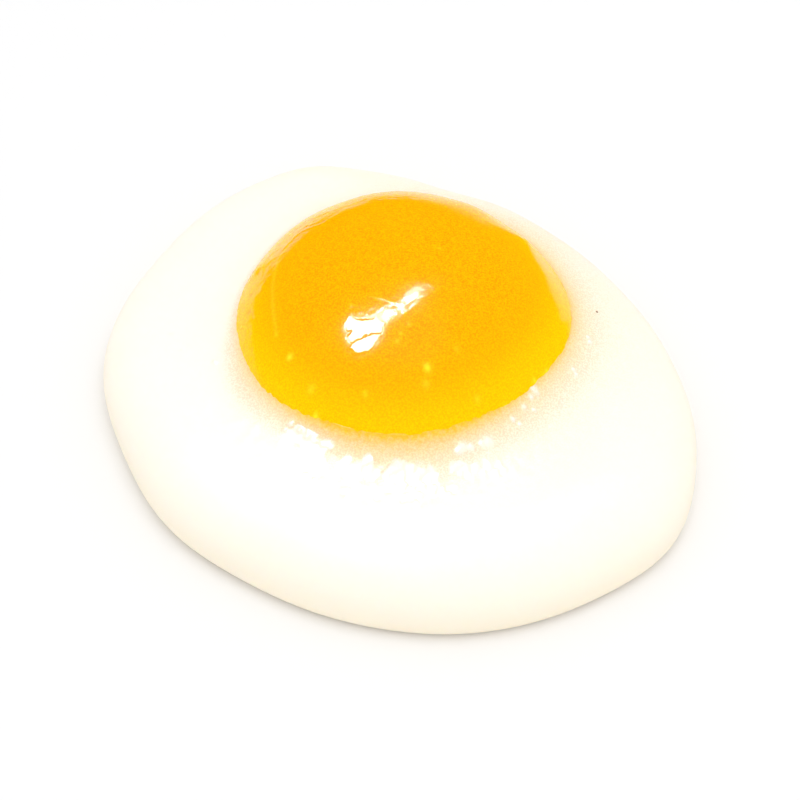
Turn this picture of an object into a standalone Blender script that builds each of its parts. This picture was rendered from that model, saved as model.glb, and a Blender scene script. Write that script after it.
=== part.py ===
"""A fried egg gummy: a foamed white with a jelly yolk set into its top, as two solids in metres."""

import math

import bmesh
import bpy
import numpy as np

MM = 0.001

# Both edges seen from above: direction from the yolk's middle in degrees, distance from it in mm
WHITE_EDGE = (
    (0, 20.2),
    (22, 18.1),
    (42, 17.0),
    (60, 16.8),
    (76, 16.9),
    (92, 18.8),
    (108, 21.0),
    (124, 21.4),
    (150, 21.1),
    (178, 21.6),
    (200, 20.9),
    (220, 21.0),
    (240, 20.9),
    (262, 21.7),
    (284, 22.9),
    (306, 23.8),
    (322, 24.3),
    (340, 22.6),
)
YOLK_EDGE = (
    (0, 12.4),
    (30, 12.0),
    (60, 11.9),
    (90, 12.1),
    (120, 11.8),
    (150, 11.3),
    (180, 11.5),
    (210, 11.6),
    (240, 11.6),
    (270, 11.7),
    (300, 11.5),
    (325, 11.5),
    (343, 12.1),
)

# The white's section in mm, from the base outwards and over to the yolk
BASE_ROUNDING = 0.8
WIDEST_HEIGHT = 1.4
PLATEAU_HEIGHT = 6.0
LIP_HEIGHT = 8.0
SHOULDER_WIDTH = 6.0
SHOULDER_SHARE = 0.75
SHOULDER_POWER = 2.2
COLLAR_REACH = 2.2

# The yolk's section in mm
DOME_HEIGHT = 6.0
DOME_SPREAD = 1.12
ROOT_DEPTH = 1.7
ROOT_INSET = 2.2

# The yolk sits in its hollow without touching
CLEARANCE = 0.3

# How finely the solids are drawn
SPOKES = 84
EDGE_RINGS = 4
SHOULDER_RINGS = 11
COLLAR_RINGS = 8
ROOT_RINGS = 4
DOME_RINGS = 12

WHITE_COLOUR = (0.98, 0.95, 0.88, 1.0)
YOLK_COLOUR = (1.0, 0.47, 0.01, 1.0)


def clear_scene():
    for item in list(bpy.data.objects):
        bpy.data.objects.remove(item, do_unlink=True)


def finish(name, colour, roughness):
    """A material with the piece's plain colour and gloss."""
    material = bpy.data.materials.new(name)
    material.use_nodes = True
    shader = material.node_tree.nodes["Principled BSDF"]
    shader.inputs["Base Color"].default_value = colour
    shader.inputs["Roughness"].default_value = roughness
    shader.inputs["Metallic"].default_value = 0.0
    return material


def round_edge(points, directions):
    """Distance of a smooth closed edge in each direction, through the given points.

    Between two points the distance follows a cubic whose slope at each point is that of the line
    between its two neighbours.
    """
    angles = np.array([angle for angle, distance in points], float)
    distances = np.array([distance for angle, distance in points])
    ahead = np.roll(angles, -1)
    ahead[-1] += 360
    behind = np.roll(angles, 1)
    behind[0] -= 360
    slopes = (np.roll(distances, -1) - np.roll(distances, 1)) / (ahead - behind)
    start = np.searchsorted(angles, directions, side="right") - 1
    stop = (start + 1) % len(angles)
    span = ahead[start] - angles[start]
    along = (directions - angles[start]) / span
    back = 1 - along
    return (
        distances[start] * back**2 * (1 + 2 * along)
        + distances[stop] * along**2 * (1 + 2 * back)
        + slopes[start] * span * along * back**2
        - slopes[stop] * span * along**2 * back
    )


def white_top(distance, yolk_edge):
    """Height of the white's top without its shoulder: a plateau that climbs a hollow collar to the yolk."""
    climb = LIP_HEIGHT - PLATEAU_HEIGHT
    return PLATEAU_HEIGHT + climb * np.exp((yolk_edge - distance) / COLLAR_REACH)


def white_section(white_edge, yolk_edge):
    """Rings of the white as (distance, height), from its base to the floor of the yolk's hollow."""
    rings = []
    for turn in np.linspace(0, math.pi / 2, EDGE_RINGS):
        distance = white_edge - BASE_ROUNDING * (1 - math.sin(turn))
        rings.append((distance, WIDEST_HEIGHT * (1 - math.cos(turn)) + 0 * distance))

    width = np.minimum(SHOULDER_WIDTH, SHOULDER_SHARE * (white_edge - yolk_edge))
    for turn in np.linspace(0, math.pi / 2, SHOULDER_RINGS)[1:]:
        distance = white_edge - width * (1 - math.cos(turn) ** (2 / SHOULDER_POWER))
        rise = math.sin(turn) ** (2 / SHOULDER_POWER)
        height = WIDEST_HEIGHT + (white_top(distance, yolk_edge) - WIDEST_HEIGHT) * rise
        rings.append((distance, height))

    lip = yolk_edge + CLEARANCE
    shoulder_end = white_edge - width
    for share in np.linspace(0, 1, COLLAR_RINGS)[1:]:
        distance = shoulder_end + (lip - shoulder_end) * share
        rings.append((distance, white_top(distance, yolk_edge)))
    return rings + root_section(yolk_edge, CLEARANCE)


def root_section(yolk_edge, gap):
    """Rings round the yolk's rounded root, a gap away from it, from below its rim to its flat floor."""
    rings = []
    for turn in np.linspace(0, math.pi / 2, ROOT_RINGS + 1)[1:]:
        distance = yolk_edge + gap - ROOT_INSET * (1 - math.cos(turn))
        rings.append((distance, LIP_HEIGHT - (ROOT_DEPTH + gap) * math.sin(turn) + 0 * distance))
    return rings


def dome_height(share):
    """Height over the yolk's rim at a share of the way from its middle to the rim: part of an ellipse."""
    rim = math.sqrt(1 - 1 / DOME_SPREAD**2)
    return DOME_HEIGHT * (math.sqrt(1 - (share / DOME_SPREAD) ** 2) - rim) / (1 - rim)


def yolk_section(yolk_edge):
    """Rings of the yolk as (distance, height), from its flat floor over the rim to near its top."""
    rings = root_section(yolk_edge, 0)[::-1]
    for turn in np.linspace(math.pi / 2, 0, DOME_RINGS + 1)[:-1]:
        share = math.sin(turn)
        rings.append((yolk_edge * share, LIP_HEIGHT + dome_height(share) + 0 * yolk_edge))
    return rings


def place(section, directions, middle):
    """Points in metres of each ring of a section, with the egg's middle at the origin."""
    cosines = np.cos(np.radians(directions))
    sines = np.sin(np.radians(directions))
    rings = []
    for distance, height in section:
        across = distance * cosines - middle[0]
        along = distance * sines - middle[1]
        rings.append(np.column_stack((across, along, height)) * MM)
    return rings


def solid(name, rings, material, peak=None):
    """A closed body: rings joined each to the next, a flat floor, and a flat end or a peak."""
    shape = bmesh.new()
    corners = [[shape.verts.new(point) for point in ring] for ring in rings]
    loops = []
    for loop in corners:
        loops.append([shape.edges.new(pair) for pair in zip(loop, loop[1:] + loop[:1])])
    for lower, upper in zip(loops, loops[1:]):
        bmesh.ops.bridge_loops(shape, edges=lower + upper)
    shape.faces.new(corners[0])
    end = shape.faces.new(corners[-1])
    if peak is not None:
        poked = bmesh.ops.poke(shape, faces=[end])
        poked["verts"][0].co = peak
    bmesh.ops.recalc_face_normals(shape, faces=shape.faces)

    mesh = bpy.data.meshes.new(name)
    shape.to_mesh(mesh)
    shape.free()
    mesh.shade_smooth()
    mesh.set_sharp_from_angle(angle=math.radians(40))
    mesh.materials.append(material)
    piece = bpy.data.objects.new(name, mesh)
    bpy.context.collection.objects.link(piece)
    return piece


def plan_middle(directions, edge):
    """Middle of the box round an edge seen from above."""
    across = edge * np.cos(np.radians(directions))
    along = edge * np.sin(np.radians(directions))
    return (across.max() + across.min()) / 2, (along.max() + along.min()) / 2


def make_white(directions, white_edge, yolk_edge, middle):
    rings = place(white_section(white_edge, yolk_edge), directions, middle)
    return solid("white", rings, finish("white_foam", WHITE_COLOUR, 0.45))


def make_yolk(directions, yolk_edge, middle):
    rings = place(yolk_section(yolk_edge), directions, middle)
    peak = (-middle[0] * MM, -middle[1] * MM, (LIP_HEIGHT + DOME_HEIGHT) * MM)
    return solid("yolk", rings, finish("yolk_jelly", YOLK_COLOUR, 0.18), peak)


def main():
    clear_scene()
    directions = np.arange(SPOKES) * 360 / SPOKES
    white_edge = round_edge(WHITE_EDGE, directions)
    yolk_edge = round_edge(YOLK_EDGE, directions)
    middle = plan_middle(directions, white_edge)
    make_white(directions, white_edge, yolk_edge, middle)
    make_yolk(directions, yolk_edge, middle)


main()
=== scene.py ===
"""Looks of a fried egg gummy: its foam white and jelly yolk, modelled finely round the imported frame."""

import math

import bmesh
import bpy
import numpy as np
from mathutils import Matrix, Vector


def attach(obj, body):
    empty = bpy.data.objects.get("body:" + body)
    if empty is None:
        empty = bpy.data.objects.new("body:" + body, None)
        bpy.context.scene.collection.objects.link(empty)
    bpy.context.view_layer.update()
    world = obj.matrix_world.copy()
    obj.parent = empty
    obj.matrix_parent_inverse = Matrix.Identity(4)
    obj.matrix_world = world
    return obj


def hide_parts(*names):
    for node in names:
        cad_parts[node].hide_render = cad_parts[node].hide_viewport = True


MM = 0.001
TURN = 2 * math.pi

# The white's section in mm, as the solids have it
BASE_ROUNDING = 0.8
WIDEST_HEIGHT = 1.4
PLATEAU_HEIGHT = 6.0
LIP_HEIGHT = 8.0
SHOULDER_WIDTH = 6.0
SHOULDER_SHARE = 0.75
SHOULDER_POWER = 2.2
SHOULDER_EASE = 0.05
COLLAR_REACH = 2.2

# The yolk's section in mm
DOME_HEIGHT = 6.0
DOME_SPREAD = 1.12
ROOT_DEPTH = 1.7
ROOT_INSET = 2.2

# How far the white's lip reaches in past the yolk's edge, and its hollow below the yolk's root, in mm
LIP_OVERLAP = 0.5
HOLLOW_GAP = 0.1

# Finest waves of each edge, in waves a turn
EDGE_WAVES = 20

# How finely the meshes are drawn, and where they are finest: place, spread and how many times as fine.
# Spokes go by their direction in degrees, collar rings by their share of the way in to the yolk, and
# dome rings by their share of the way from the yolk's middle to its rim.
WHITE_SPOKES = 760
WHITE_SPOKE_FOCUS = ((270, 75, 2.2),)
BASE_RINGS = 5
ROUNDING_RINGS = 8
SHOULDER_RINGS = 32
COLLAR_RINGS = 82
COLLAR_FOCUS = ((0.8, 0.3, 1.8),)
HOLLOW_RINGS = 4
YOLK_SPOKES = 480
YOLK_SPOKE_FOCUS = ((265, 40, 3.2), (150, 45, 2.0))
YOLK_ROOT_RINGS = 5
DOME_RINGS = 196
DOME_FOCUS = ((0.42, 0.22, 2.8), (0.93, 0.12, 1.9))

# Relief of random waves: how many are summed, and for each surface height and length in mm and the seed
WAVE_COUNT = 48
WHITE_WAVES = (0.05, 9.0, 3)
LIP_WAVES = ((0.02, 2.0, 4), (0.016, 0.6, 7))
CRINKLES = ((0.03, 1.4, 5), (0.012, 0.75, 6))
YOLK_WAVES = (0.03, 7.0, 11)
SKIN_RIDGES = ((0.01, 0.5, 14), (0.012, 1.3, 12))
RIPPLES = (0.0024, 0.5, 24)
FLAT_WOBBLE = (0.08, 0.4, 21)
FLAT_RIPPLE = (0.006, 0.8, 22)

# Heights in mm: of the white's lip, all round and what it gains in front, and of single marks
LIP_HEIGHTS = (0.03, 0.1)
BUBBLE_HEIGHT = 0.13
SPECK_HEIGHT = 0.02
FAINT_SPECK_HEIGHT = 0.01
LINE_HEIGHT = 0.006
FOLD_HEIGHT = 0.03
PIT_DEPTH = 0.03
STREAK_HEIGHT = 0.004

# Flat spots on the yolk's top. They all face one way, along a plane that rises by FLAT_SLOPE a
# millimetre and touches the dome at FLAT_MIDDLE. Places are in mm from the yolk's middle.
FLAT_MIDDLE = (-2.3, -5.9)
FLAT_SLOPE = (0.18, 0.43)
FLATS = (
    # Outline, and how far the flat lies below its mean place: the low one and the broad one
    (((-3.3, -6.7), (-3.0, -6.1), (-1.15, -5.9), (-1.15, -6.2), (-2.0, -7.05), (-2.8, -7.2)), 0.0),
    (
        (
            (-3.35, -4.5), (-2.8, -4.85), (-2.1, -4.95), (-1.4, -4.9), (-0.9, -5.4), (-1.1, -6.0),
            (-2.1, -5.95), (-3.1, -6.35), (-3.45, -6.0), (-3.2, -5.6), (-3.65, -5.4), (-3.6, -4.9),
        ),
        0.045,
    ),
)

# How soft the flats' edges are in mm, and how strongly and how far round them the jelly is frosted
FLAT_EDGE = 0.06
FROST = 0.8
FROST_REACH = 0.2

# Long glints beside the flats: place, length, width, heading in degrees and brightness. Each is the
# mirror image of a small lamp of its own, broken up by fine ripples along RIPPLE_LINE. MIRROR_REACH is
# how far round a place in mm the dome's facing is averaged to find where its lamp goes.
GLINTS = (
    (0.95, -3.5, 1.5, 0.32, 42, 3.2),
    (1.5, -2.75, 1.2, 0.3, 15, 0.6),
    (0.3, -4.2, 0.9, 0.34, 42, 0.9),
    (-0.5, -4.8, 1.8, 0.36, 37, 1.3),
    (-1.1, -4.4, 2.3, 0.3, 8, 1.1),
    (-2.6, -4.65, 1.0, 0.22, 10, 0.7),
)
GLINT_RADIANCE = 60
MIRROR_REACH = 0.5
RIPPLE_LINE = ((((-3.2, -4.3), (-1.0, -4.6), (0.6, -3.8), (2.2, -2.4)), 0.9),)

# Small specks in the yolk and bubbles on the white: (across, along, radius) in mm from the yolk's middle
YOLK_SPECKS = (
    (-7.4, -6.1, 0.2), (2.0, -8.0, 0.26), (-5.6, -9.8, 0.18), (9.45, -6.35, 0.14), (10.2, -5.65, 0.13),
    (10.4, -5.3, 0.12),
)
FAINT_SPECKS = (
    (4.0, -6.6, 0.16), (0.0, -6.5, 0.2), (0.2, -6.0, 0.14), (0.8, -5.4, 0.14), (0.5, -4.6, 0.14),
    (-3.2, -3.8, 0.16), (2.9, 1.1, 0.16), (7.4, -8.6, 0.14), (-5.9, -8.4, 0.25), (1.9, -8.9, 0.25),
    (-2.2, -9.4, 0.2), (5.4, -9.0, 0.2), (-8.4, -4.2, 0.15),
)
WHITE_BUBBLES = (
    (13.5, -1.4, 0.14), (13.6, -1.8, 0.15), (12.3, -4.5, 0.17), (12.5, -4.8, 0.13), (9.4, -6.8, 0.22),
    (9.6, -7.0, 0.2), (9.2, -7.4, 0.18), (8.7, -8.2, 0.16), (9.4, -8.2, 0.14), (7.9, -9.2, 0.17),
    (8.4, -9.4, 0.14), (-7.3, -9.7, 0.18), (-7.7, -10.0, 0.12), (-6.7, -10.2, 0.15), (-6.2, -10.7, 0.2),
    (-16.2, -0.3, 0.2), (-15.5, -1.8, 0.2), (-12.9, -3.5, 0.2), (4.4, -11.6, 0.34), (5.0, -11.5, 0.24),
    (4.1, -11.9, 0.2), (6.2, -11.0, 0.36), (5.7, -11.2, 0.2),
)

# How strongly the specks and lines show in the yolk's colour, and how strongly the bubbles are painted white
# in the white's colour, as painted glints
SPECK_TINT = 0.8
FAINT_SPECK_TINT = 0.35
LINE_TINT = 0.2
BUBBLE_PAINTED_GLINT = 1.6

# A tiny brown speck on the white's right, in mm from the yolk's middle, and its radius
BROWN_SPECK = (14.33, 1.39)
BROWN_SPECK_RADIUS = 0.06

# Where the white's collar breaks into small flat flakes: middle and reach across and along in mm from
# the yolk's middle, and how closely they lie. They all face one way, as the yolk's flats do.
FLAKE_ZONES = (
    (-6.1, -12.5, 1.6, 2.2, 1.15),
    (-2.9, -13.1, 1.5, 1.0, 1.1),
    (-2.7, -14.9, 2.0, 0.8, 0.8),
    (0.9, -14.2, 2.1, 1.3, 1.4),
    (5.5, -12.8, 2.2, 0.7, 0.8),
    (3.4, -14.6, 1.2, 0.6, 0.7),
    (-7.0, -10.3, 0.9, 0.6, 0.9),
    (8.3, -8.9, 1.0, 0.8, 0.5),
)

# The flakes' rise a millimetre across and along, their size in mm, how far they lean from it at random,
# how sharp their borders are, the seed of their draws, the waves that leave gaps between them, and after
# how many cells each way the draws repeat
FLAKE_SLOPE = (0.17, 0.395)
FLAKE_SIZE = 0.55
FLAKE_LEAN = 0.035
FLAKE_SHARPNESS = 4
FLAKE_SEED = 33
FLAKE_PATCHES = (0.35, 1.6, 31)
CELL_GRID = 160

# Faint raised lines on the yolk: from place to place in mm from its middle, and half their width
YOLK_LINES = (
    (((-1.9, -3.3), (-1.1, -3.5), (-0.2, -3.9)), 0.07),
    (((-7.7, 4.3), (-8.5, 2.6), (-8.8, -0.2), (-8.7, -2.0), (-8.4, -4.0)), 0.12),
)

# Small pits in the skin at the yolk's left and back, given as its specks are; they are painted deeper orange
# as painted shade
YOLK_PITS = (
    (-7.2, 6.4, 0.25), (-10.5, -1.0, 0.2), (-9.9, 2.5, 0.2), (-5.35, 5.6, 0.22), (-4.4, 7.1, 0.2),
    (-8.6, 5.1, 0.16), (-10.4, 0.6, 0.16), (-6.3, 7.0, 0.18), (-2.4, 8.2, 0.2), (-9.3, 4.0, 0.15),
)

# Folds of the skin at the yolk's back left, given as its lines are
YOLK_FOLDS = (
    (((-8.2, 3.8), (-7.6, 4.7), (-7.0, 5.3), (-6.3, 5.3), (-5.6, 5.2), (-5.0, 5.6), (-4.3, 6.1)), 0.13),
    (((-7.1, 5.9), (-6.5, 6.0), (-5.9, 5.7)), 0.1),
    (((-9.4, 3.6), (-8.8, 4.9), (-7.9, 6.0)), 0.12),
    (((-6.2, 7.0), (-4.6, 7.7), (-3.0, 8.2)), 0.14),
)

# Broad rises and dips of the yolk near its rim: place in mm from its middle, reach and rise
YOLK_SWELLS = (
    (9.3, 6.2, 1.6, 0.14),
    (5.1, 7.9, 1.8, 0.2),
    (-4.1, 8.4, 2.0, -0.28),
    (-10.3, 3.3, 1.0, 0.22),
)

# How wide the pale band along the yolk's rim is, where a painted reflection of the pale surroundings adds to
# the floor's real mirror image in the gloss: direction in degrees, and width in mm
RIM_BAND = (
    (0, 1.1), (8, 1.5), (34, 1.6), (43, 3.8), (68, 4.4), (110, 4.0), (128, 4.1), (136, 3.7), (140, 2.5),
    (150, 2.3), (166, 1.7), (186, 1.2), (200, 0.8), (240, 0.2), (300, 0.2), (345, 0.2), (353, 0.3),
    (360, 1.1),
)
STREAK_WIDTH = 0.35
STREAKS_A_RADIAN = 14

# Painted glow in the white: the yolk's light scattered into the foam, painted as colour. Its strength at
# the lip's inner end; its reach in mm, and what that gains at the back left and in front; the share of its
# faint far part, least and gained to the right, and its reach; and the strength and reach of its core at the
# front right
GLOW_MOST = 0.95
GLOW_REACH = 1.25
GLOW_BACK_LEFT = -0.8
GLOW_FRONT = 0.65
GLOW_FAR_SHARES = (0.04, 0.2)
GLOW_FAR_REACH = 5.0
GLOW_CORE = 0.35
GLOW_CORE_REACH = 0.5

# Colours of the foam: its two creams; creamier low on its flank, as painted shade where the flank turns from
# the light; the painted glow of the yolk's light scattered into the white; and the grain in that painted
# glow
FOAM_CREAM = (0.97, 0.915, 0.83, 1.0)
FOAM_PALE = (0.98, 0.935, 0.86, 1.0)
# The low flank's cream is painted shade, where the flank turns from the light
FOAM_LOW_PAINTED_SHADE = (1.0, 0.9, 0.73, 1.0)
FOAM_PAINTED_GLOW = (1.0, 0.58, 0.03, 1.0)
FOAM_GRAIN = (1.0, 0.25, 0.0, 1.0)
SPECK_BROWN = (0.25, 0.13, 0.07, 1.0)

# Colours of the jelly: yellower at its rim, where it is thinner and where painted light lifts the rim's
# shading; over its body; the painted reflection in its pale band; its pits, painted deeper orange as painted
# shade; its grain and specks
JELLY_RIM_THIN_AND_PAINTED_LIGHT = (1.0, 0.66, 0.0, 1.0)
JELLY_BODY = (1.0, 0.509, 0.0, 1.0)
JELLY_PAINTED_REFLECTION = (1.0, 0.72, 0.0, 1.0)
JELLY_PIT_PAINTED_SHADE = (1.0, 0.38, 0.0, 1.0)
JELLY_GRAIN = (1.0, 0.1, 0.0, 1.0)
JELLY_SPECK = (1.0, 0.9, 0.03, 1.0)

# The camera looks at the middle of the base, from in front and above: millimetres for its lens and
# sensor, metres for its distance and aim, and degrees
CAMERA_LENS = 100
CAMERA_SENSOR = 36
CAMERA_DISTANCE = 0.1635
CAMERA_ELEVATION = 50
CAMERA_AIM = (0.0003, 0.0, 0.0)

# The lights: direction from the egg, sizes in metres and powers in watts. The lamp shows in the gloss,
# and the wide screen and the room light the surfaces.
LAMP_DIRECTION = (-0.319, -0.066, 0.945)
SCREEN_DIRECTION = (0.1, -0.1, 0.99)
LIGHT_DISTANCE = 0.5
LAMP_WIDTH = 0.13
LAMP_POWER = 2.8
SCREEN_WIDTH = 0.4
SCREEN_POWER = 0.7
ROOM_STRENGTH = 0.95

# The floor's width in metres, how far it lies under the base so that the two never coincide, its grey,
# and the edge of its mirrored middle in metres, from its front right corner round to its front left
FLOOR_SIZE = 2.0
FLOOR_DROP = 0.05 * MM
FLOOR_GREY = (0.85, 0.85, 0.851, 1.0)
FLOOR_BREAK = (
    (0.045, -1.0), (0.045, 0.024), (0.13, 0.068), (0.13, 0.1), (0.105, 0.1), (0.041, 0.045),
    (0.027, 0.0345), (0.0205, 0.029), (0.0145, 0.0235), (0.0165, 0.0295), (0.0168, 0.034),
    (0.018, 0.041), (0.0225, 0.055), (0.028, 0.072), (0.045, 0.129), (0.1, 0.4), (0.03, 0.16),
    (0.008, 0.062), (-0.004, 0.038), (-0.007, 0.034), (-0.011, 0.036), (-0.017, 0.046), (-0.03, 0.068),
    (-0.055, 0.075), (-0.06, 0.058), (-0.1, 0.09), (-0.15, 0.1), (-0.15, -1.0),
)

# What the gloss mirrors where there is no floor or lamp
SURROUND_COLOUR = (0.9, 0.55, 0.0, 1.0)
SURROUND_RADIUS = 2.5


class Shade:
    """One output of a node. Sums and products of shades and numbers become Math nodes."""

    def __init__(self, paint, socket):
        self.paint = paint
        self.socket = socket

    def maths(self, operation, *values):
        return self.paint.node("ShaderNodeMath", {"operation": operation}, *values)

    def __add__(self, other):
        return self.maths("ADD", self, other)

    def __radd__(self, other):
        return self.maths("ADD", other, self)

    def __rsub__(self, other):
        return self.maths("SUBTRACT", other, self)

    def __mul__(self, other):
        return self.maths("MULTIPLY", self, other)


class Paint:
    """A material with one Principled shader, whose node tree is written as expressions."""

    def __init__(self, name, **constants):
        self.material = bpy.data.materials.new(name)
        self.material.use_nodes = True
        self.tree = self.material.node_tree
        self.shader = self.tree.nodes["Principled BSDF"]
        for socket, value in constants.items():
            self.shader.inputs[socket.replace("_", " ")].default_value = value

    def node(self, kind, settings, *values, output=0, **named):
        """Adds a node: its settings first, then the values or links of its sockets."""
        node = self.tree.nodes.new(kind)
        for setting, value in settings.items():
            setattr(node, setting, value)
        for index, value in enumerate(values):
            self.feed(node.inputs[index], value)
        for socket, value in named.items():
            self.feed(node.inputs[socket.replace("_", " ")], value)
        return Shade(self, node.outputs[output])

    def feed(self, socket, value):
        """Links a shade to a socket, or sets the socket to a number, colour or vector."""
        if isinstance(value, Shade):
            self.tree.links.new(value.socket, socket)
        else:
            socket.default_value = value

    def place(self):
        """Position on the piece in metres."""
        return self.node("ShaderNodeTexCoord", {}, output="Object")

    def attribute(self, name):
        """A value that the mesh carries at each of its points."""
        return self.node("ShaderNodeAttribute", {"attribute_name": name}, output="Fac")

    def noise(self, size, detail):
        """Soft noise from 0 to 1 with lumps of about this size in mm."""
        scale = 1 / (size * MM)
        return self.node("ShaderNodeTexNoise", {}, Vector=self.place(), Scale=scale, Detail=detail)

    def between(self, value, low, high, start=0.0, end=1.0):
        """Maps a value smoothly from its range low to high onto start to end, and holds it there."""
        settings = {"interpolation_type": "SMOOTHSTEP"}
        return self.node("ShaderNodeMapRange", settings, value, low, high, start, end)

    def mix(self, share, first, second):
        """Blends two colours by a share from 0 to 1."""
        node = self.tree.nodes.new("ShaderNodeMix")
        node.data_type = "RGBA"
        for index, value in ((0, share), (6, first), (7, second)):
            self.feed(node.inputs[index], value)
        return Shade(self, node.outputs[2])

    def spot(self, x, y, radius):
        """1 within a radius in mm of a place seen from above, and 0 from twice as far."""
        flat = self.node("ShaderNodeVectorMath", {"operation": "MULTIPLY"}, self.place(), (1.0, 1.0, 0.0))
        middle = (x * MM, y * MM, 0.0)
        way = self.node("ShaderNodeVectorMath", {"operation": "DISTANCE"}, flat, middle, output="Value")
        return self.between(way, radius * MM, 2 * radius * MM, 1.0, 0.0)

    def bump(self, height, distance):
        """Normals of a surface raised by height times distance, in mm."""
        return self.node("ShaderNodeBump", {}, Strength=1.0, Distance=distance * MM, Height=height)

    def wear(self, **shades):
        """Feeds the shader's sockets."""
        for socket, value in shades.items():
            self.feed(self.shader.inputs[socket.replace("_", " ")], value)
        return self.material


def vectors_of(collection, value):
    """One vector of each item of a mesh's collection, a row each."""
    vectors = np.empty(len(collection) * 3, np.float32)
    collection.foreach_get(value, vectors)
    return vectors.reshape(-1, 3)


def node_corners(node):
    """Corners of a CAD node's mesh in mm, each once."""
    return np.unique(np.round(vectors_of(node.data.vertices, "co") / MM, 3), axis=0)


def ring_at(corners, height):
    """The corners that lie at one height."""
    return corners[np.abs(corners[:, 2] - height) < 0.01]


def edge_round(corners, middle, directions):
    """Distance from the middle in each direction: the Fourier series through evenly turned corners."""
    across, along = (corners[:, :2] - middle).T
    turns = np.arctan2(along, across)
    order = np.argsort(turns)
    waves = np.fft.rfft(np.hypot(across, along)[order])[: EDGE_WAVES + 1] / len(order)
    waves[1:] *= 2
    phases = np.outer(directions - turns[order[0]], np.arange(len(waves)))
    return (waves * np.exp(1j * phases)).real.sum(axis=1)


def waves_of(across, along, length, seed):
    """Random relief from about -1 to 1: plane waves of one length in random directions, summed."""
    chance = np.random.default_rng(seed)
    total = np.zeros_like(across)
    for _ in range(WAVE_COUNT):
        heading = chance.uniform(0, TURN)
        pitch = TURN / (length * chance.uniform(0.75, 1.35))
        phase = chance.uniform(0, TURN)
        total += np.cos(pitch * (across * math.cos(heading) + along * math.sin(heading)) + phase)
    return total * math.sqrt(2 / WAVE_COUNT) / 2


def raised(across, along, *waves):
    """Random relief in mm: sets of waves added up, each given by its height, length and seed."""
    return sum(height * waves_of(across, along, length, seed) for height, length, seed in waves)


def smooth_step(value, low, high):
    """0 below low, 1 above high, and 3t^2 - 2t^3 between them."""
    t = np.clip((value - low) / (high - low), 0, 1)
    return t * t * (3 - 2 * t)


def denser(count, start, end, focuses):
    """Count values from start to end, spaced by 1 / (1 + (times - 1) exp(-((value - place) / spread)^2))."""
    fine = np.linspace(start, end, 4001)
    weight = np.ones_like(fine)
    for place, spread, times in focuses:
        weight += (times - 1) * np.exp(-(((fine - place) / spread) ** 2))
    reached = np.concatenate(([0], np.cumsum((weight[1:] + weight[:-1]) / 2)))
    return np.interp(np.linspace(0, reached[-1], count), reached, fine)


def spoke_directions(count, focuses):
    """Directions in radians of the spokes once round, denser near each focus."""
    return np.radians(denser(count + 1, 0, 360, focuses)[:-1])


def way_from(across, along, wide, deep):
    """Distance of each place from the straight stretch that runs from the origin to (wide, deep)."""
    share = np.clip((across * wide + along * deep) / (wide**2 + deep**2), 0, 1)
    return np.hypot(across - share * wide, along - share * deep)


def within(across, along, outline):
    """How far each place lies inside a closed outline of straight sides in mm, negative outside it."""
    nearest = np.full_like(across, np.inf)
    inside = np.zeros(across.shape, bool)
    for (x0, y0), (x1, y1) in zip(outline, outline[1:] + outline[:1]):
        wide, deep = x1 - x0, y1 - y0
        nearest = np.minimum(nearest, way_from(across - x0, along - y0, wide, deep))
        if deep:
            crossed = (along < y0) != (along < y1)
            inside ^= crossed & (across < x0 + wide * (along - y0) / deep)
    return np.where(inside, nearest, -nearest)


def lumps(across, along, places):
    """Small round lumps 1 high, each exp(-(way from its middle / radius)^2), added up."""
    total = np.zeros_like(across)
    for x, y, radius in places:
        total += np.exp(-((across - x) ** 2 + (along - y) ** 2) / radius**2)
    return total


def white_top(distance, yolk_edge):
    """Height of the white without its shoulder: plateau + climb * exp(-way from the yolk / reach)."""
    climb = LIP_HEIGHT - PLATEAU_HEIGHT
    return PLATEAU_HEIGHT + climb * np.exp((yolk_edge - distance) / COLLAR_REACH)


def white_height(distance, white_edge, width, yolk_edge):
    """Height of the white's top with its shoulder, whose superellipse eases into the plateau.

    The way in from the widest ring, as a share t of the shoulder's width that is left, is replaced by
    ease * log(1 + e^(t / ease)), which is t on the shoulder and fades to 0 past its end.
    """
    left = (distance - white_edge + width) / width
    left = np.minimum(SHOULDER_EASE * np.logaddexp(0, left / SHOULDER_EASE), 1)
    rise = (1 - left**SHOULDER_POWER) ** (1 / SHOULDER_POWER)
    return WIDEST_HEIGHT + (white_top(distance, yolk_edge) - WIDEST_HEIGHT) * rise


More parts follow.
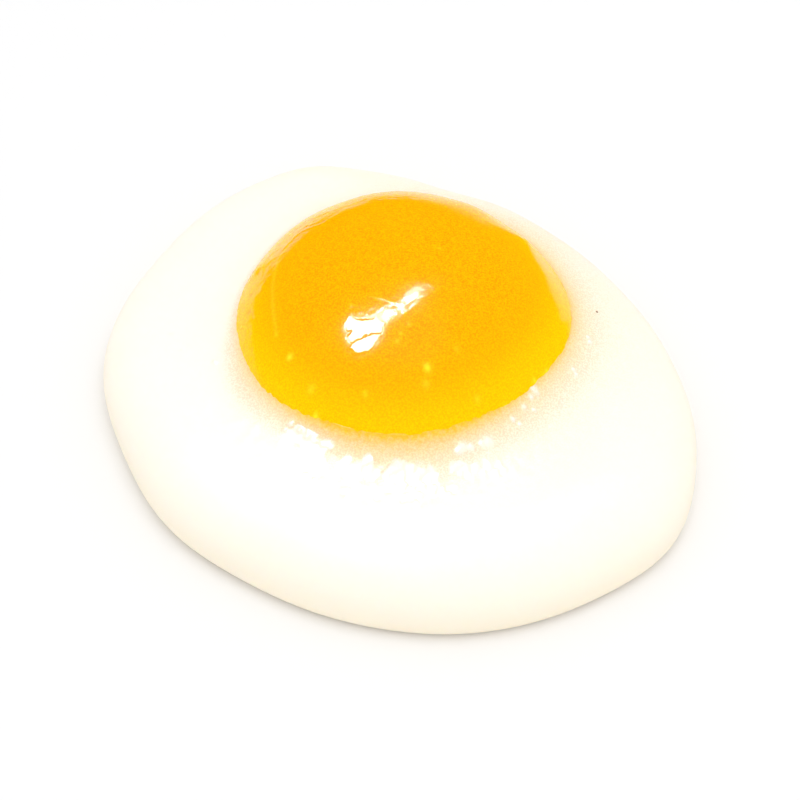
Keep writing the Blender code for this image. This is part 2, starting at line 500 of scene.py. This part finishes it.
def white_section(white_edge, yolk_edge):
    """Distances and heights of the white's rings: base, rounding, shoulder, collar and hollow.

    The rounding is a quarter ellipse. The shoulder is a quarter of a superellipse from the widest
    ring up to the plateau. The collar follows white_top, and the hollow a quarter ellipse.
    """
    foot = white_edge - BASE_ROUNDING
    out = np.linspace(0, 1, BASE_RINGS + 1)[1:, None] ** 0.7
    base = (foot * out, np.zeros_like(foot * out))

    turn = np.linspace(0, TURN / 4, ROUNDING_RINGS)[1:, None]
    rounding = (foot + BASE_ROUNDING * np.sin(turn), WIDEST_HEIGHT * (1 - np.cos(turn)) + 0 * foot)

    width = np.minimum(SHOULDER_WIDTH, SHOULDER_SHARE * (white_edge - yolk_edge))
    turn = np.linspace(0, TURN / 4, SHOULDER_RINGS + 1)[1:, None]
    distance = white_edge - width * (1 - np.cos(turn) ** (2 / SHOULDER_POWER))
    shoulder = (distance, white_height(distance, white_edge, width, yolk_edge))

    lip = yolk_edge - LIP_OVERLAP
    share = denser(COLLAR_RINGS + 1, 0, 1, COLLAR_FOCUS)[1:, None]
    distance = (white_edge - width) * (1 - share) + lip * share
    collar = (distance, white_height(distance, white_edge, width, yolk_edge))

    turn = np.linspace(0, TURN / 4, HOLLOW_RINGS + 1)[1:, None]
    distance = lip - ROOT_INSET * (1 - np.cos(turn))
    hollow = (distance, collar[1][-1] - (ROOT_DEPTH + HOLLOW_GAP) * np.sin(turn) + 0 * distance)

    parts = (base, rounding, shoulder, collar, hollow)
    return np.concatenate([part[0] for part in parts]), np.concatenate([part[1] for part in parts])


def dome_height(share):
    """Height over the rim at a share of the way from the middle to the rim: part of an ellipse."""
    rim = math.sqrt(1 - 1 / DOME_SPREAD**2)
    return DOME_HEIGHT * (np.sqrt(1 - (share / DOME_SPREAD) ** 2) - rim) / (1 - rim)


def yolk_section(yolk_edge):
    """Distances and heights of the yolk's rings, from its floor over the rim to near its top."""
    turn = np.linspace(TURN / 4, 0, YOLK_ROOT_RINGS + 1)[:-1, None]
    distance = yolk_edge - ROOT_INSET * (1 - np.cos(turn))
    root = (distance, LIP_HEIGHT - ROOT_DEPTH * np.sin(turn) + 0 * distance)

    share = denser(DOME_RINGS + 1, 0, 1, DOME_FOCUS)[:0:-1, None]
    dome = (yolk_edge * share, LIP_HEIGHT + dome_height(share) + 0 * yolk_edge)
    return np.concatenate([root[0], dome[0]]), np.concatenate([root[1], dome[1]])


def raise_along_normals(points, relief):
    """Moves the points of a closed grid of rings outwards along the surface's normals by a relief in mm."""
    round_step = (np.roll(points, -1, axis=1) - np.roll(points, 1, axis=1)) / 2
    ring_step = np.gradient(points, axis=0)
    normals = np.cross(round_step, ring_step)
    normals /= np.linalg.norm(normals, axis=2, keepdims=True)
    return points + normals * relief[:, :, None]


def skin(name, rings, start_pole, end_pole, values):
    """A closed mesh over rings of points in mm, from one pole to the other, carrying named values."""
    count, spokes = rings.shape[:2]
    points = np.concatenate(([start_pole], rings.reshape(-1, 3), [end_pole])) * MM
    spoke = np.arange(spokes)
    ahead = (spoke + 1) % spokes
    ring = np.arange(count - 1)[:, None] * spokes + 1
    quads = np.stack((ring + spoke, ring + ahead, ring + spokes + ahead, ring + spokes + spoke), axis=2)
    last = len(points) - 1
    top_ring = (count - 1) * spokes + 1
    first_fan = np.stack((ahead + 1, spoke + 1, 0 * spoke), axis=1)
    last_fan = np.stack((top_ring + spoke, top_ring + ahead, 0 * spoke + last), axis=1)
    faces = quads.reshape(-1, 4).tolist() + first_fan.tolist() + last_fan.tolist()

    mesh = bpy.data.meshes.new(name)
    mesh.from_pydata(points, [], faces)
    mesh.shade_smooth()
    for value_name, value in values.items():
        layer = mesh.attributes.new(value_name, "FLOAT", "POINT")
        flat = np.concatenate(([value[0].mean()], value.ravel(), [value[-1].mean()]))
        layer.data.foreach_set("value", flat.astype(np.float32))
    piece = bpy.data.objects.new(name, mesh)
    bpy.context.scene.collection.objects.link(piece)
    return piece


def rings_of(section, directions, middle):
    """Points of every ring of a section, turned round the yolk's middle."""
    distance, height = section
    across = distance * np.cos(directions) + middle[0]
    along = distance * np.sin(directions) + middle[1]
    return np.stack((across, along, height + 0 * across), axis=2)


class Cells:
    """Irregular cells of about one size in mm, with soft borders.

    Each cell has a point on a jittered grid. A place belongs to the nine cells round it by shares of
    exp(-sharpness (way to the cell's point / size)^2) that add up to 1, once short waves have
    shifted it.
    """

    def __init__(self, across, along, size, seed, sharpness):
        chance = np.random.default_rng(seed)
        jitter = chance.uniform(0, 1, (CELL_GRID, CELL_GRID, 2))
        self.chances = chance.uniform(-1, 1, CELL_GRID**2)
        self.leans = chance.normal(0, 1, (2, CELL_GRID**2))
        x = across / size + 0.15 * waves_of(across, along, 1.1 * size, seed + 1)
        y = along / size + 0.15 * waves_of(across, along, 1.1 * size, seed + 2)
        numbers = []
        closeness = []
        for step in range(9):
            i = np.floor(x).astype(int) + step % 3 - 1
            j = np.floor(y).astype(int) + step // 3 - 1
            shift = jitter[i % CELL_GRID, j % CELL_GRID]
            numbers.append(i % CELL_GRID * CELL_GRID + j % CELL_GRID)
            way = np.hypot(x - i - shift[..., 0], y - j - shift[..., 1])
            closeness.append(np.exp(-sharpness * way**2))
        self.numbers = np.array(numbers)
        self.shares = np.array(closeness) / np.sum(closeness, axis=0)
        self.own = np.take_along_axis(self.numbers, self.shares.argmax(axis=0)[None], axis=0)[0]

    def mean(self, value, weight):
        """Mean of a value over each cell, with a weight for each place."""
        totals = np.bincount(self.own.ravel(), (value * weight).ravel(), CELL_GRID**2)
        weights = np.bincount(self.own.ravel(), weight.ravel(), CELL_GRID**2)
        return totals / np.maximum(weights, 1e-15)

    def lay(self, of_cells):
        """A value of each cell laid over the places, blended by their shares."""
        return (of_cells[self.numbers] * self.shares).sum(axis=0)

    def facets(self, over, across, along, weight, lean):
        """How far a surface of facets, one to a cell, lies over the old one in mm.

        Each facet is a plane that leans at random from the given one, let down onto the old surface.
        """
        lean_across, lean_along = lean * self.leans
        leaning = over + lean_across[self.own] * across + lean_along[self.own] * along
        leant = over + self.lay(lean_across) * across + self.lay(lean_along) * along
        return leant - self.lay(self.mean(leaning, weight))


def add_flakes(height, across, along, beyond):
    """Height of the white with its flakes in mm, and the share of each place that they cover.

    Each flake is a facet that rises by about FLAKE_SLOPE a millimetre. A cell has one where the zones'
    strength, which falls off as exp(-(way / reach)^2), is over random waves of about a half.
    """
    top = height > PLATEAU_HEIGHT - 1
    closeness = np.zeros_like(height)
    for x, y, reach_across, reach_along, strength in FLAKE_ZONES:
        way = ((across - x) / reach_across) ** 2 + ((along - y) / reach_along) ** 2
        closeness = np.maximum(closeness, strength * np.exp(-way))
    closeness *= smooth_step(beyond, 0.1, 0.6) * top
    cells = Cells(across, along, FLAKE_SIZE, FLAKE_SEED, FLAKE_SHARPNESS)
    weight = (closeness + 1e-6) * top + 1e-12
    patches = 0.5 + raised(across, along, FLAKE_PATCHES)
    flaked = cells.mean(closeness - patches, weight) + 0.2 * cells.chances > 0
    share = smooth_step(cells.lay(flaked * 1.0), 0.15, 0.85) * smooth_step(closeness, 0.05, 0.2)
    over = across * FLAKE_SLOPE[0] + along * FLAKE_SLOPE[1] - height
    return height + share * cells.facets(over, across, along, weight, FLAKE_LEAN), share


def white_relief(across, along, height, beyond, flakes):
    """How far each point of the white stands out in mm.

    Gentle swells all over; an uneven lip that creeps up the yolk, highest in front, and falls off as
    exp(-way / 0.3 mm); crinkles on the collar, strongest in front of the yolk; and small bubbles. All
    of it fades out down the flank, so that the base is flat.
    """
    swell = raised(across, along, WHITE_WAVES) * smooth_step(beyond, 0, 2)
    facing = smooth_step(-along / np.hypot(across, along), 0.6, 0.95)
    lip = LIP_HEIGHTS[0] + LIP_HEIGHTS[1] * facing + raised(across, along, *LIP_WAVES)
    lip *= np.exp(-beyond.clip(0) / 0.3) * smooth_step(beyond, -0.8, -LIP_OVERLAP)
    front = smooth_step(-along, 5.0, 10.0)
    zone = smooth_step(beyond, 0.5, 1.2) * (1 - smooth_step(beyond, 3.4, 5.4)) * (1 - 0.9 * flakes)
    crinkle = raised(across, along, *CRINKLES) * zone * (0.1 + 0.9 * front)
    bubbles = BUBBLE_HEIGHT * lumps(across, along, WHITE_BUBBLES) * smooth_step(beyond, 0.0, 0.4)
    return (swell + lip + crinkle + bubbles) * smooth_step(height, 0.6, 4.0)


def painted_yolk_glow(across, along, beyond):
    """How strongly the painted glow of the yolk's light shows in the white, from 0 to 1: colour painted in
    place of light scattered from the yolk.

    With the way from the lip's inner end it is near e^(-(way / reach)^1.5) + far e^(-way / far reach),
    and core e^(-(way / core reach)^2) at the front right. The reach is longest in front and shortest at
    the back left, and the far share is largest to the right.
    """
    apart = np.hypot(across, along)
    right = (across * 0.97 + along * 0.25) / apart
    back_left = smooth_step((along * 0.77 - across * 0.64) / apart, 0.1, 0.8)
    front = smooth_step(-along / apart, 0.88, 0.99)
    front_right = smooth_step((across * 0.5 - along * 0.87) / apart, -0.2, 0.5)
    reach = GLOW_REACH + GLOW_BACK_LEFT * back_left + GLOW_FRONT * front
    far = GLOW_FAR_SHARES[0] + GLOW_FAR_SHARES[1] * smooth_step(right, -0.5, 0.8)
    way = beyond + LIP_OVERLAP
    near = (GLOW_MOST - far) * np.exp(-((way.clip(0) / reach) ** 1.5))
    core = GLOW_CORE * front_right * np.exp(-((way / GLOW_CORE_REACH) ** 2))
    return near + far * np.exp(-way.clip(0) / GLOW_FAR_REACH) + core


def make_white(directions, white_edge, yolk_edge, middle):
    """The white: its section turned round the yolk's middle, with its flakes laid in and its relief."""
    section = white_section(white_edge, yolk_edge)
    points = rings_of(section, directions, middle)
    across, along = points[:, :, 0] - middle[0], points[:, :, 1] - middle[1]
    height = points[:, :, 2].copy()
    beyond = section[0] - yolk_edge
    points[:, :, 2], flakes = add_flakes(height, across, along, beyond)
    points = raise_along_normals(points, white_relief(across, along, height, beyond, flakes))
    bubbles = lumps(across, along, WHITE_BUBBLES) * (height > 3)
    values = {
        # Painted glow: the yolk's light scattered into the white, painted as colour
        "painted_glow": painted_yolk_glow(across, along, beyond) * smooth_step(height, 0, 0.5),
        # Flakes, and bubbles painted white as painted glints; the flakes also carry real gloss
        "flakes": np.maximum(flakes, (BUBBLE_PAINTED_GLINT * bubbles).clip(0, 1)),
        "height": height,
    }
    base_pole = (middle[0], middle[1], 0.0)
    hollow_pole = (middle[0], middle[1], points[-1, :, 2].mean())
    return skin("foam_white", points, base_pole, hollow_pole, values)


def add_flats(height, across, along, dome_at_middle):
    """Height of the dome with its flat spots in it in mm, and how frosted each place is.

    Every flat lies along one plane through the dome at FLAT_MIDDLE, and its edge is frosted by
    FROST e^(-(way / FROST_REACH)^2).
    """
    plane = dome_at_middle - FLAT_MIDDLE[0] * FLAT_SLOPE[0] - FLAT_MIDDLE[1] * FLAT_SLOPE[1]
    over = plane + across * FLAT_SLOPE[0] + along * FLAT_SLOPE[1] - height
    wobble = raised(across, along, FLAT_WOBBLE)
    ripple = raised(across, along, FLAT_RIPPLE)
    total = np.array(height)
    frost = np.zeros_like(height)
    for outline, drop in FLATS:
        inside = within(across, along, outline)
        share = smooth_step(inside + wobble, -FLAT_EDGE, FLAT_EDGE)
        level = over - over[inside > 0].mean() - drop + ripple
        total += share * (height + level - total)
        frost = np.maximum(frost * (1 - share), FROST * np.exp(-((inside / FROST_REACH) ** 2)))
    return total, frost


def along_lines(across, along, lines):
    """Soft lines 1 high: exp(-(way from the nearest stretch / half width)^2)."""
    total = np.zeros_like(across)
    for places, half_width in lines:
        nearest = np.full_like(across, np.inf)
        for (x0, y0), (x1, y1) in zip(places, places[1:]):
            nearest = np.minimum(nearest, way_from(across - x0, along - y0, x1 - x0, y1 - y0))
        total = np.maximum(total, np.exp(-((nearest / half_width) ** 2)))
    return total


def band_share(across, along, inside):
    """How far each place lies out in the pale band in mm, and the band's streaks from -1 to 1.

    The streaks are random waves drawn out along the rim: STREAK_WIDTH wide, STREAKS_A_RADIAN along it.
    """
    turn = np.arctan2(along, across) % TURN
    width = np.interp(np.degrees(turn), *np.array(RIM_BAND).T)
    streaks = waves_of(inside / STREAK_WIDTH, turn * STREAKS_A_RADIAN, 1.0, seed=15)
    return width - inside, streaks


def yolk_relief(across, along, inside):
    """How far each point of the yolk stands out in mm.

    Gentle swells, and rises and dips near the rim; fine ridges of the skin along the pale band, which
    are strongest at the back left, and its folds there; and specks, pits, faint lines, and the ripples
    that break up the glints.
    """
    swell = raised(across, along, YOLK_WAVES) * smooth_step(inside, 0, 2)
    for x, y, reach, rise in YOLK_SWELLS:
        swell += rise * lumps(across, along, ((x, y, reach),)) * smooth_step(inside, 0, 1)
    back_left = smooth_step(np.cos(np.arctan2(along, across) - math.radians(150)), -0.1, 0.75)
    band, streaks = band_share(across, along, inside)
    ridges = raised(across, along, *SKIN_RIDGES) * np.exp(-((band / 0.9) ** 2))
    ridges += STREAK_HEIGHT * streaks * smooth_step(band, 0, 0.4) * smooth_step(inside, 0.1, 0.5)
    folds = FOLD_HEIGHT * along_lines(across, along, YOLK_FOLDS)
    marks = SPECK_HEIGHT * lumps(across, along, YOLK_SPECKS)
    marks += FAINT_SPECK_HEIGHT * lumps(across, along, FAINT_SPECKS)
    marks -= PIT_DEPTH * lumps(across, along, YOLK_PITS)
    marks += LINE_HEIGHT * along_lines(across, along, YOLK_LINES)
    marks += raised(across, along, RIPPLES) * along_lines(across, along, RIPPLE_LINE)
    return swell + ridges * (0.25 + 0.75 * back_left) + folds + marks


def height_near(points, middle, place):
    """Height of the dome's point that is nearest to a place."""
    dome = points[YOLK_ROOT_RINGS:].reshape(-1, 3)
    way = np.hypot(dome[:, 0] - middle[0] - place[0], dome[:, 1] - middle[1] - place[1])
    return dome[way.argmin(), 2]


def make_yolk(directions, yolk_edge, middle):
    """The yolk: its section turned round its middle, with its flats laid in and its relief."""
    section = yolk_section(yolk_edge)
    points = rings_of(section, directions, middle)
    across, along = points[:, :, 0] - middle[0], points[:, :, 1] - middle[1]
    inside = yolk_edge - section[0]
    dome = points[YOLK_ROOT_RINGS:]
    dome_at_middle = height_near(points, middle, FLAT_MIDDLE)
    frost = np.zeros_like(across)
    dome[:, :, 2], frost[YOLK_ROOT_RINGS:] = add_flats(
        dome[:, :, 2], across[YOLK_ROOT_RINGS:], along[YOLK_ROOT_RINGS:], dome_at_middle
    )
    points = raise_along_normals(points, yolk_relief(across, along, inside))
    on_dome = (points[:, :, 2] > LIP_HEIGHT - 0.1) * 1.0
    specks = SPECK_TINT * lumps(across, along, YOLK_SPECKS)
    specks += FAINT_SPECK_TINT * lumps(across, along, FAINT_SPECKS)
    specks += LINE_TINT * along_lines(across, along, YOLK_LINES)
    pits = lumps(across, along, YOLK_PITS)
    band, streaks = band_share(across, along, inside)
    # The pale band's painted reflection, broken up by its streaks
    painted_reflection = smooth_step(band, -0.4, 1.0) * (0.55 + 0.55 * streaks).clip(0, 1)
    values = {
        "within_rim": inside,
        "specks": specks * on_dome,
        "pits": pits * on_dome,
        "frost": frost,
        "band": painted_reflection * on_dome,
    }
    floor_pole = (middle[0], middle[1], LIP_HEIGHT - ROOT_DEPTH)
    peak = (middle[0], middle[1], points[-1, :, 2].mean())
    return skin("jelly_yolk", points, floor_pole, peak, values)


def foam_finish(middle):
    """Aerated cream-white foam, satin and glossier on its flakes; creamier low on its flank as painted
    shade; near the yolk a painted glow of the yolk's light with grain in it, and the flakes and bubbles
    painted white over that glow as painted highlights.
    """
    paint = Paint(
        "foam_finish",
        Subsurface_Weight=0.2,
        Subsurface_Radius=(1.0, 0.55, 0.3),
        Subsurface_Scale=0.5 * MM,
        IOR=1.4,
        Specular_IOR_Level=0.3,
        Coat_Roughness=0.26,
    )
    flakes = paint.attribute("flakes")
    height = paint.attribute("height")
    # The flakes and bubbles keep little of the painted glow, so they are painted white: painted highlights
    painted_glow = paint.attribute("painted_glow") * (0.57 + paint.noise(0.3, 2) * 0.45) * (1 - flakes * 0.8)
    body = paint.mix(paint.noise(4.0, 3), FOAM_CREAM, FOAM_PALE)
    # Creamier low on the flank: painted shade where the flank turns from the light
    body = paint.mix(paint.between(height, 0.3, 6.0), FOAM_LOW_PAINTED_SHADE, body)
    # Painted glow of the yolk's light over the foam's own colour
    colour = paint.mix(painted_glow, body, FOAM_PAINTED_GLOW)
    grain = paint.between(paint.noise(0.12, 1), 0.35, 0.65) * paint.between(painted_glow, 0.0, 0.2, 0.0, 0.22)
    colour = paint.mix(grain, colour, FOAM_GRAIN)
    speck = paint.spot(BROWN_SPECK[0] + middle[0], BROWN_SPECK[1] + middle[1], BROWN_SPECK_RADIUS)
    colour = paint.mix(speck * paint.between(height, 2.9, 3.0), colour, SPECK_BROWN)
    return paint.wear(
        Base_Color=colour,
        Roughness=0.38 + paint.noise(0.25, 3) * 0.14,
        Coat_Weight=0.08 + flakes * 0.9,
        Normal=paint.bump(paint.noise(0.12, 2), 0.003),
    )


def jelly_finish():
    """Clear yellow-orange jelly, glossy and finely grained; yellower towards its rim, where it is thinner
    and where painted light lifts its shading; with a painted reflection in its pale band and painted shade
    in its pits.
    """
    paint = Paint(
        "jelly_finish",
        Subsurface_Weight=0.2,
        Subsurface_Radius=(1.0, 0.5, 0.05),
        Subsurface_Scale=0.6 * MM,
        IOR=1.34,
    )
    within_rim = paint.attribute("within_rim")
    band = paint.attribute("band")
    # Yellower towards the rim: thinner jelly there, and painted light that lifts the steep rim's shading
    colour = paint.mix(paint.between(within_rim, 0.0, 3.0), JELLY_RIM_THIN_AND_PAINTED_LIGHT, JELLY_BODY)
    # Painted reflection in the pale band, over the floor's real mirror image in the gloss
    colour = paint.mix(band, colour, JELLY_PAINTED_REFLECTION)
    # Pits painted deeper orange: painted shade in the pits
    colour = paint.mix(paint.attribute("pits") * 0.6, colour, JELLY_PIT_PAINTED_SHADE)
    grained = paint.between(within_rim, 0.0, 6.0, 0.22, 0.45) + band * 0.12
    grained = grained * paint.between(paint.noise(0.12, 1), 0.3, 0.7)
    colour = paint.mix(grained, colour, JELLY_GRAIN)
    colour = paint.mix(paint.attribute("specks"), colour, JELLY_SPECK)
    roughness = 0.07 + paint.noise(0.3, 3) * 0.08 + paint.attribute("frost") * 0.13 + band * 0.18
    mottles = paint.bump(paint.noise(0.3, 2) * paint.between(band, 0.0, 0.6), 0.007)
    return paint.wear(Base_Color=colour, Roughness=roughness, Normal=mottles)


def floor_finish():
    """Matt pale grey, plain all over."""
    return Paint("pale_floor", Base_Color=FLOOR_GREY, Roughness=0.9, Specular_IOR_Level=0.0).material


def dress(piece, node, finish):
    """Puts a piece in its CAD node's place, with its finish."""
    piece.data.materials.append(finish)
    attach(piece, "root")
    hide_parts(node)


def make_floor():
    """A pale floor in two parts that meet: the middle is mirrored in the gloss, and the rest isn't."""
    finish = floor_finish()
    half = FLOOR_SIZE / 2
    outer = [(half, -half), (half, half), (-half, half), (-half, -half), *FLOOR_BREAK[::-1]]
    for name, outline in (("floor_middle", FLOOR_BREAK), ("floor_surround", outer)):
        mesh = bpy.data.meshes.new(name)
        mesh.from_pydata([(x, y, -FLOOR_DROP) for x, y in outline], [], [range(len(outline))])
        mesh.materials.append(finish)
        floor = bpy.data.objects.new(name, mesh)
        floor.visible_glossy = name == "floor_middle"
        bpy.context.scene.collection.objects.link(floor)


def make_surround():
    """A warm ball round the stage that shows only in the gloss, so that steep edges keep their colour."""
    material = bpy.data.materials.new("warm_surround")
    material.use_nodes = True
    shader = material.node_tree.nodes["Principled BSDF"]
    shader.inputs["Base Color"].default_value = (0.0, 0.0, 0.0, 1.0)
    shader.inputs["Emission Color"].default_value = SURROUND_COLOUR
    shader.inputs["Emission Strength"].default_value = 1.0
    shape = bmesh.new()
    bmesh.ops.create_icosphere(shape, subdivisions=3, radius=SURROUND_RADIUS)
    mesh = bpy.data.meshes.new("surround")
    shape.to_mesh(mesh)
    shape.free()
    mesh.materials.append(material)
    ball = bpy.data.objects.new("surround", mesh)
    ball.visible_camera = False
    ball.visible_diffuse = False
    ball.visible_shadow = False
    ball.visible_transmission = False
    bpy.context.scene.collection.objects.link(ball)


def mirror_way(yolk, place, eye):
    """Direction of what the yolk mirrors to the eye at a place, by its mean normal within MIRROR_REACH."""
    points = vectors_of(yolk.data.vertices, "co")
    normals = vectors_of(yolk.data.vertex_normals, "vector")
    apart = np.hypot(*(points[:, :2] - place * MM).T)
    near = (apart < MIRROR_REACH * MM) & (points[:, 2] > LIP_HEIGHT * MM)
    normal = Vector(normals[near].mean(axis=0)).normalized()
    way = Vector(points[near].mean(axis=0)) - eye
    return (way - 2 * way.dot(normal) * normal).normalized()


def make_glints(yolk, middle, eye):
    """Small oval lamps that show only in the gloss, each where the yolk mirrors it at its glint.

    Each lamp's length and width are the spread of the directions that the glint's ends and sides
    mirror, at LIGHT_DISTANCE, and its power is radiance * brightness * pi^2 / 4 * length * width.
    """
    for number, (across, along, length, width, heading, brightness) in enumerate(GLINTS):
        turn = math.radians(heading)
        ahead = np.array((math.cos(turn), math.sin(turn))) * length / 2
        aside = np.array((-math.sin(turn), math.cos(turn))) * width / 2
        place = np.array((across, along)) + middle
        start, end = mirror_way(yolk, place - ahead, eye), mirror_way(yolk, place + ahead, eye)
        low, high = mirror_way(yolk, place - aside, eye), mirror_way(yolk, place + aside, eye)
        away = (start + end).normalized()
        side = away.cross(end - start).normalized()
        light = bpy.data.lights.new(f"glint_lamp_{number}", "AREA")
        light.shape = "ELLIPSE"
        light.size = (end - start).length * LIGHT_DISTANCE
        light.size_y = (high - low).length * LIGHT_DISTANCE
        light.energy = GLINT_RADIANCE * brightness * math.pi**2 / 4 * light.size * light.size_y
        box = bpy.data.objects.new(light.name, light)
        box.location = away * LIGHT_DISTANCE + Vector((place[0] * MM, place[1] * MM, LIP_HEIGHT * MM))
        box.rotation_euler = Matrix((side.cross(away), side, away)).transposed().to_euler()
        box.visible_diffuse = False
        bpy.context.scene.collection.objects.link(box)


def make_lights():
    """A round lamp that shows only in the gloss, and a wide round screen that only lights the surfaces."""
    lights = (
        ("lamp", LAMP_DIRECTION, LAMP_WIDTH, LAMP_POWER),
        ("screen", SCREEN_DIRECTION, SCREEN_WIDTH, SCREEN_POWER),
    )
    for name, heading, width, power in lights:
        direction = Vector(heading).normalized()
        light = bpy.data.lights.new(name, "AREA")
        light.shape = "DISK"
        light.size = width
        light.energy = power
        box = bpy.data.objects.new(name, light)
        box.location = direction * LIGHT_DISTANCE
        box.rotation_euler = direction.to_track_quat("Z", "Y").to_euler()
        box.visible_diffuse = name == "screen"
        box.visible_glossy = name == "lamp"
        bpy.context.scene.collection.objects.link(box)


def make_room():
    """A pale room that lights every side softly but isn't mirrored in the gloss."""
    world = bpy.data.worlds.new("room")
    bpy.context.scene.world = world
    world.use_nodes = True
    background = world.node_tree.nodes["Background"]
    background.inputs["Color"].default_value = (1.0, 1.0, 1.0, 1.0)
    background.inputs["Strength"].default_value = ROOM_STRENGTH
    world.cycles_visibility.glossy = False


def make_camera():
    """The camera, which looks at CAMERA_AIM from in front and above. Gives its place."""
    data = bpy.data.cameras.new("camera")
    data.lens = CAMERA_LENS
    data.sensor_width = CAMERA_SENSOR
    data.clip_start = 0.01
    data.clip_end = 10
    camera = bpy.data.objects.new("camera", data)
    elevation = math.radians(CAMERA_ELEVATION)
    back = Vector((0, -math.cos(elevation), math.sin(elevation)))
    camera.location = Vector(CAMERA_AIM) + back * CAMERA_DISTANCE
    camera.rotation_euler = back.to_track_quat("Z", "Y").to_euler()
    bpy.context.scene.collection.objects.link(camera)
    bpy.context.scene.camera = camera
    return camera.location


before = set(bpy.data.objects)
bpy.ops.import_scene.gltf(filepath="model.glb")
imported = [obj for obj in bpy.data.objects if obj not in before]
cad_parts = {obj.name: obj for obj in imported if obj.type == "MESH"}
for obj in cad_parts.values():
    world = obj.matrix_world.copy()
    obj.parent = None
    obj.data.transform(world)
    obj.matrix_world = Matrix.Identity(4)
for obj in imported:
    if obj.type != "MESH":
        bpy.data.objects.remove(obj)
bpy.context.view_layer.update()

white_corners = node_corners(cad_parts["white"])
yolk_corners = node_corners(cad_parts["yolk"])
yolk_middle = yolk_corners[yolk_corners[:, 2].argmax(), :2]

white_directions = spoke_directions(WHITE_SPOKES, WHITE_SPOKE_FOCUS)
yolk_directions = spoke_directions(YOLK_SPOKES, YOLK_SPOKE_FOCUS)
white_edge = edge_round(ring_at(white_corners, WIDEST_HEIGHT), yolk_middle, white_directions)
yolk_ring = ring_at(yolk_corners, LIP_HEIGHT)

white = make_white(
    white_directions, white_edge, edge_round(yolk_ring, yolk_middle, white_directions), yolk_middle
)
dress(white, "white", foam_finish(yolk_middle))
yolk = make_yolk(yolk_directions, edge_round(yolk_ring, yolk_middle, yolk_directions), yolk_middle)
dress(yolk, "yolk", jelly_finish())

make_floor()
make_surround()
make_lights()
make_room()
eye = make_camera()
make_glints(yolk, yolk_middle, eye)
bpy.context.scene.view_settings.view_transform = "Standard"
